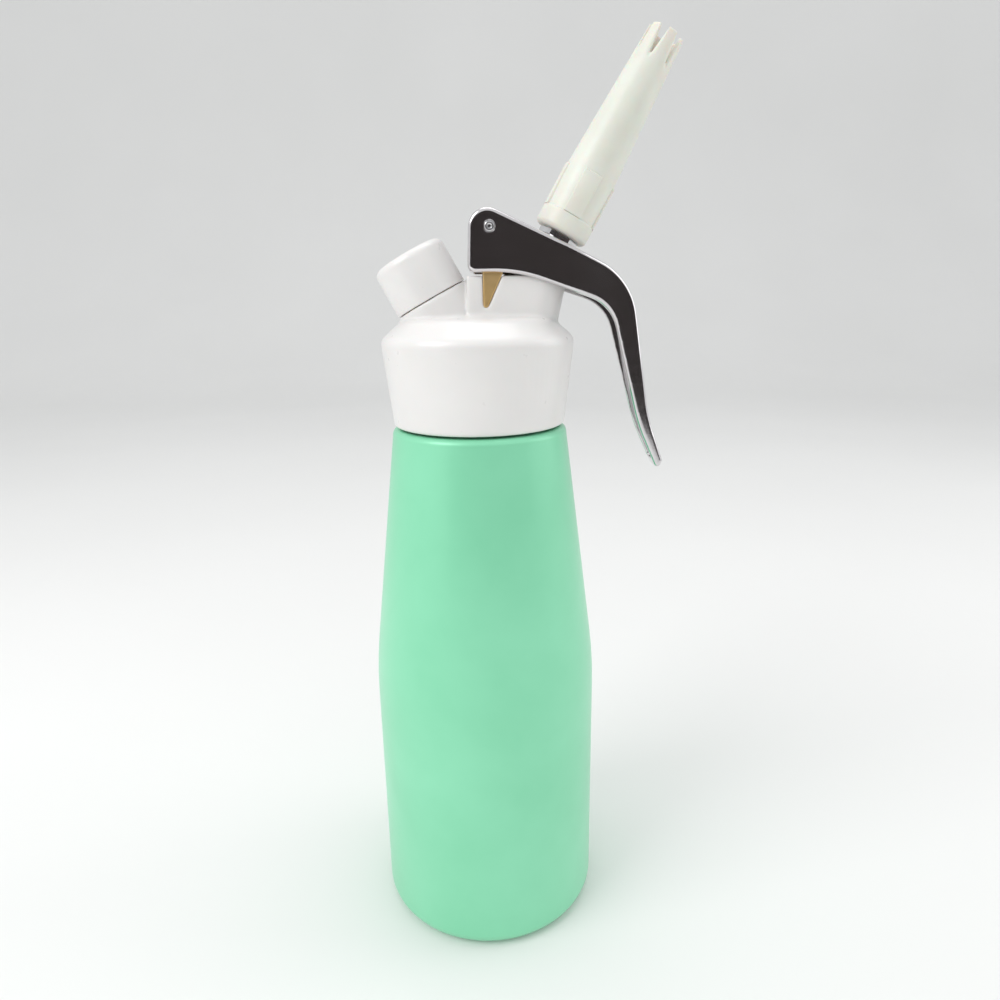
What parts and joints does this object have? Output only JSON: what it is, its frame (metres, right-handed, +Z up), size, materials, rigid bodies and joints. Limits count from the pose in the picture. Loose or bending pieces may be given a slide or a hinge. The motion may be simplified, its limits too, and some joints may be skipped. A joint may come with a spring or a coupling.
{
  "type": "whipped cream dispenser",
  "caption": "Upright cream dispenser: tapered bottle, white screw-on head, squeeze lever, sprung valve, star nozzle and capped gas charger port.",
  "frame": {"origin": "centre of the base, on the surface it stands on", "axes": "+Z up along the bottle, +X towards the nozzle and lever, so the mechanism lies in the XZ plane"},
  "size_m": [0.1041, 0.08, 0.3034],
  "materials": {
    "bottle_paint": "mint green satin paint with a fine grain",
    "seal_rubber": "soft translucent silicone",
    "core_metal": "turned aluminium",
    "head_plastic": "moulded white plastic, soft gloss",
    "brass": "machined brass",
    "pin_steel": "turned steel",
    "lever_chrome": "polished bright plated steel",
    "stem_steel": "turned stainless steel",
    "spring_steel": "spring steel wire",
    "nozzle_plastic": "off-white translucent moulded plastic"
  },
  "bodies": {
    "bottle_body": {"bottle": "bottle_paint"},
    "head": {"head_gasket": "seal_rubber", "head_core": "core_metal", "head_shell": "head_plastic", "pivot_bracket": "brass", "lever_pin": "pin_steel", "valve_bush": "brass", "stem_o_ring": "seal_rubber", "valve_seat": "seal_rubber", "valve_spring": "spring_steel", "port_nipple": "brass", "port_seal": "seal_rubber", "piercing_pin": "stem_steel", "check_spring": "spring_steel", "check_retainer": "brass"},
    "lever_body": {"lever": "lever_chrome"},
    "stem": {"valve_stem": "stem_steel", "stem_nut": "stem_steel", "valve_seal": "seal_rubber", "seal_nut": "brass"},
    "nozzle_body": {"nozzle": "nozzle_plastic", "nozzle_washer": "seal_rubber"},
    "cap_body": {"charger_cap": "head_plastic", "cap_liner": "seal_rubber"},
    "poppet_body": {"check_poppet": "seal_rubber"}
  },
  "joints": [
    {"name": "head_lift", "type": "slide", "parent": "bottle_body", "child": "head", "axis": [0, 0, 1], "range_m": [0, 0.05]},
    {"name": "lever_squeeze", "type": "hinge", "parent": "head", "child": "lever_body", "pos_m": [0.0044, 0, 0.2459], "axis": [0, 1, 0], "range_deg": [0, 8], "stiffness_Nm_per_rad": 1.3, "springref_deg": -5.73},
    {"name": "stem_travel", "type": "slide", "parent": "head", "child": "stem", "axis": [-0.4924, 0, -0.8704], "range_m": [0, 0.003], "deforming": ["valve_spring"]},
    {"name": "nozzle_unscrew", "type": "slide", "parent": "stem", "child": "nozzle_body", "axis": [0.4924, 0, 0.8704], "range_m": [0, 0.02]},
    {"name": "cap_unscrew", "type": "slide", "parent": "head", "child": "cap_body", "axis": [-0.4726, 0, 0.8813], "range_m": [0, 0.02]},
    {"name": "check_valve_open", "type": "slide", "parent": "head", "child": "poppet_body", "axis": [0.4726, 0, -0.8813], "range_m": [0, 0.0015], "stiffness_N_per_m": 300, "springref_m": -0.001, "deforming": ["check_spring"]}
  ],
  "couplings": [
    {"joint": "stem_travel", "follows": "lever_squeeze", "m_per_rad": 0.02075}
  ]
}
